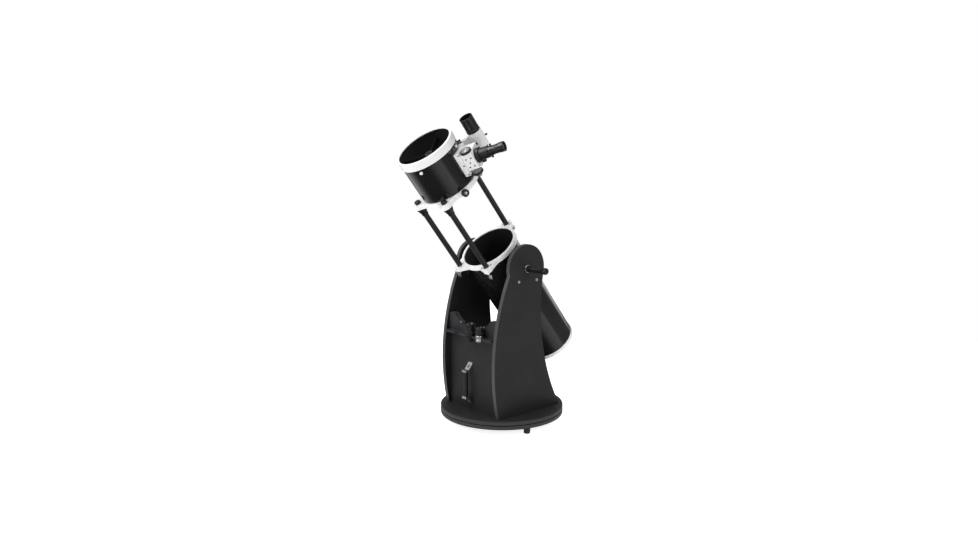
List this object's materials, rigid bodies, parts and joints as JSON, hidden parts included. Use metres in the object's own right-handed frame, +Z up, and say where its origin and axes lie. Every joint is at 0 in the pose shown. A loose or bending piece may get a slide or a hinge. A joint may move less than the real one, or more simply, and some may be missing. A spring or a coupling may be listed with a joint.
{
  "type": "dobsonian telescope",
  "caption": "Collapsible reflector telescope: two-part black tube on sliding truss rods, with focuser and finder, in a rocker box on a round turntable.",
  "frame": {"origin": "on the floor, at the azimuth axis, under the middle of the round base", "axes": "+Z up, -Y towards the front that the tube leans to, +X to the side with the focuser"},
  "size_m": [0.5586, 0.8744, 1.2812],
  "materials": {
    "laminate": "fine-textured black laminate on particle board",
    "rubber": "matt",
    "white_plastic": "waxy",
    "zinc_steel": "zinc plated",
    "black_screw": "black oxide",
    "rack_plastic": "fine moulded grain",
    "black_plastic": "moulded, semi-matt",
    "eyepiece_black": "satin anodised",
    "chrome": "polished",
    "tube_black": "gloss lacquer",
    "matt_black": "matt powder coat",
    "white_casting": "satin white enamel",
    "cast_aluminium": "cast",
    "spring_steel": "drawn wire",
    "mirror": "aluminised glass"
  },
  "bodies": {
    "ground_base": {"ground_board": "laminate", "feet": "rubber", "glide_pads": "white_plastic", "azimuth_bolt": "zinc_steel", "azimuth_nut": "zinc_steel"},
    "rocker": {"turntable_board": "laminate", "left_side_panel": "laminate", "right_side_panel": "laminate", "front_board": "laminate", "board_screws": "zinc_steel", "altitude_pegs": "black_plastic", "peg_screws": "zinc_steel", "eyepiece_rack": "rack_plastic", "stored_eyepieces": "eyepiece_black", "handle_grip": "black_plastic", "handle_brackets": "chrome"},
    "lower_tube": {"lower_tube": "tube_black", "rear_ring": "white_casting", "mirror_backplate": "cast_aluminium", "mirror_cell": "cast_aluminium", "collimation_springs": "spring_steel", "primary_mirror": "mirror", "mirror_clips": "black_plastic", "cell_lock_screws": "zinc_steel", "lower_truss_ring": "white_casting", "rod_bushings": "black_plastic", "altitude_bearings": "black_plastic", "bearing_screws": "zinc_steel"},
    "left_tension_handle": {"left_tension_handle": "black_plastic"},
    "right_tension_handle": {"right_tension_handle": "black_plastic"},
    "collimation_knob_a": {"collimation_knob_a": "black_plastic"},
    "collimation_knob_b": {"collimation_knob_b": "black_plastic"},
    "collimation_knob_c": {"collimation_knob_c": "black_plastic"},
    "rod_clamp_left": {"rod_clamp_left": "chrome"},
    "rod_clamp_right": {"rod_clamp_right": "chrome"},
    "rod_clamp_top": {"rod_clamp_top": "chrome"},
    "upper_cage": {"truss_rods": "matt_black", "rod_sockets": "black_plastic", "rod_knobs": "black_plastic", "upper_truss_ring": "white_casting", "upper_tube": "tube_black", "front_ring": "white_casting", "spider": "matt_black", "spider_screws": "chrome", "secondary_holder": "matt_black", "secondary_mirror": "mirror", "focuser_housing": "white_casting", "focuser_collar": "matt_black", "finder_shoe": "black_plastic", "finder_bracket": "white_casting", "finder_screws": "black_screw"},
    "ring_knob": {"ring_knob": "black_plastic"},
    "focus_lock_knob": {"focus_lock_knob": "black_plastic"},
    "focus_shaft": {"focus_shaft": "zinc_steel", "focus_knobs": "black_plastic"},
    "drawtube": {"drawtube": "matt_black", "eyepiece_adapter": "eyepiece_black", "adapter_screws": "black_screw", "main_eyepiece": "eyepiece_black"},
    "finder": {"finder_tube": "tube_black"}
  },
  "joints": [
    {"name": "azimuth", "type": "hinge", "parent": "ground_base", "child": "rocker", "pos_m": [0, 0, 0.05], "axis": [0, 0, 1], "continuous": true},
    {"name": "altitude", "type": "hinge", "parent": "rocker", "child": "lower_tube", "pos_m": [0, -0.012, 0.665], "axis": [-1, 0, 0], "range_deg": [-51.6, 38.4]},
    {"name": "left_tension", "type": "hinge", "parent": "lower_tube", "child": "left_tension_handle", "pos_m": [-0.2, -0.012, 0.665], "axis": [1, 0, 0], "range_deg": [-180, 180]},
    {"name": "right_tension", "type": "hinge", "parent": "lower_tube", "child": "right_tension_handle", "pos_m": [0.2, -0.012, 0.665], "axis": [1, 0, 0], "range_deg": [-180, 180]},
    {"name": "truss_slide", "type": "slide", "parent": "lower_tube", "child": "upper_cage", "axis": [0, -0.6211, 0.7837], "range_m": [-0.27, 0]},
    {"name": "left_clamp_turn", "type": "hinge", "parent": "lower_tube", "child": "rod_clamp_left", "pos_m": [-0.08027, -0.17287, 0.63957], "axis": [0, -0.6211, 0.7837], "range_deg": [0, 180]},
    {"name": "right_clamp_turn", "type": "hinge", "parent": "lower_tube", "child": "rod_clamp_right", "pos_m": [0.10147, -0.16166, 0.64846], "axis": [0, -0.6211, 0.7837], "range_deg": [0, 180]},
    {"name": "top_clamp_turn", "type": "hinge", "parent": "lower_tube", "child": "rod_clamp_top", "pos_m": [-0.01279, 0.06566, 0.82863], "axis": [0, -0.6211, 0.7837], "range_deg": [0, 180]},
    {"name": "collimation_a", "type": "hinge", "parent": "lower_tube", "child": "collimation_knob_a", "pos_m": [0, 0.33872, 0.34325], "axis": [0, -0.6211, 0.7837], "range_deg": [-180, 180]},
    {"name": "collimation_b", "type": "hinge", "parent": "lower_tube", "child": "collimation_knob_b", "pos_m": [-0.06495, 0.25055, 0.27337], "axis": [0, -0.6211, 0.7837], "range_deg": [-180, 180]},
    {"name": "collimation_c", "type": "hinge", "parent": "lower_tube", "child": "collimation_knob_c", "pos_m": [0.06495, 0.25055, 0.27337], "axis": [0, -0.6211, 0.7837], "range_deg": [-180, 180]},
    {"name": "ring_knob_turn", "type": "hinge", "parent": "upper_cage", "child": "ring_knob", "pos_m": [0.1304, -0.30648, 0.98028], "axis": [0.9659, -0.2028, -0.1608], "range_deg": [0, 180]},
    {"name": "focus_lock", "type": "hinge", "parent": "upper_cage", "child": "focus_lock_knob", "pos_m": [0.15542, -0.23207, 1.10306], "axis": [0.8829, 0.3679, 0.2916], "range_deg": [0, 180]},
    {"name": "focus_turn", "type": "hinge", "parent": "upper_cage", "child": "focus_shaft", "pos_m": [0.15311, -0.29276, 1.10089], "axis": [0, 0.6211, -0.7837], "range_deg": [-430, 115]},
    {"name": "drawtube_slide", "type": "slide", "parent": "upper_cage", "child": "drawtube", "axis": [0.8829, 0.3679, 0.2916], "range_m": [-0.03, 0.008]},
    {"name": "finder_tilt", "type": "hinge", "parent": "upper_cage", "child": "finder", "pos_m": [0.10457, -0.23365, 1.20389], "axis": [-0.8387, 0.4268, 0.3383], "range_deg": [-1, 1]}
  ],
  "couplings": [
    {"joint": "focus_turn", "follows": "drawtube_slide", "rad_per_m": 250}
  ]
}
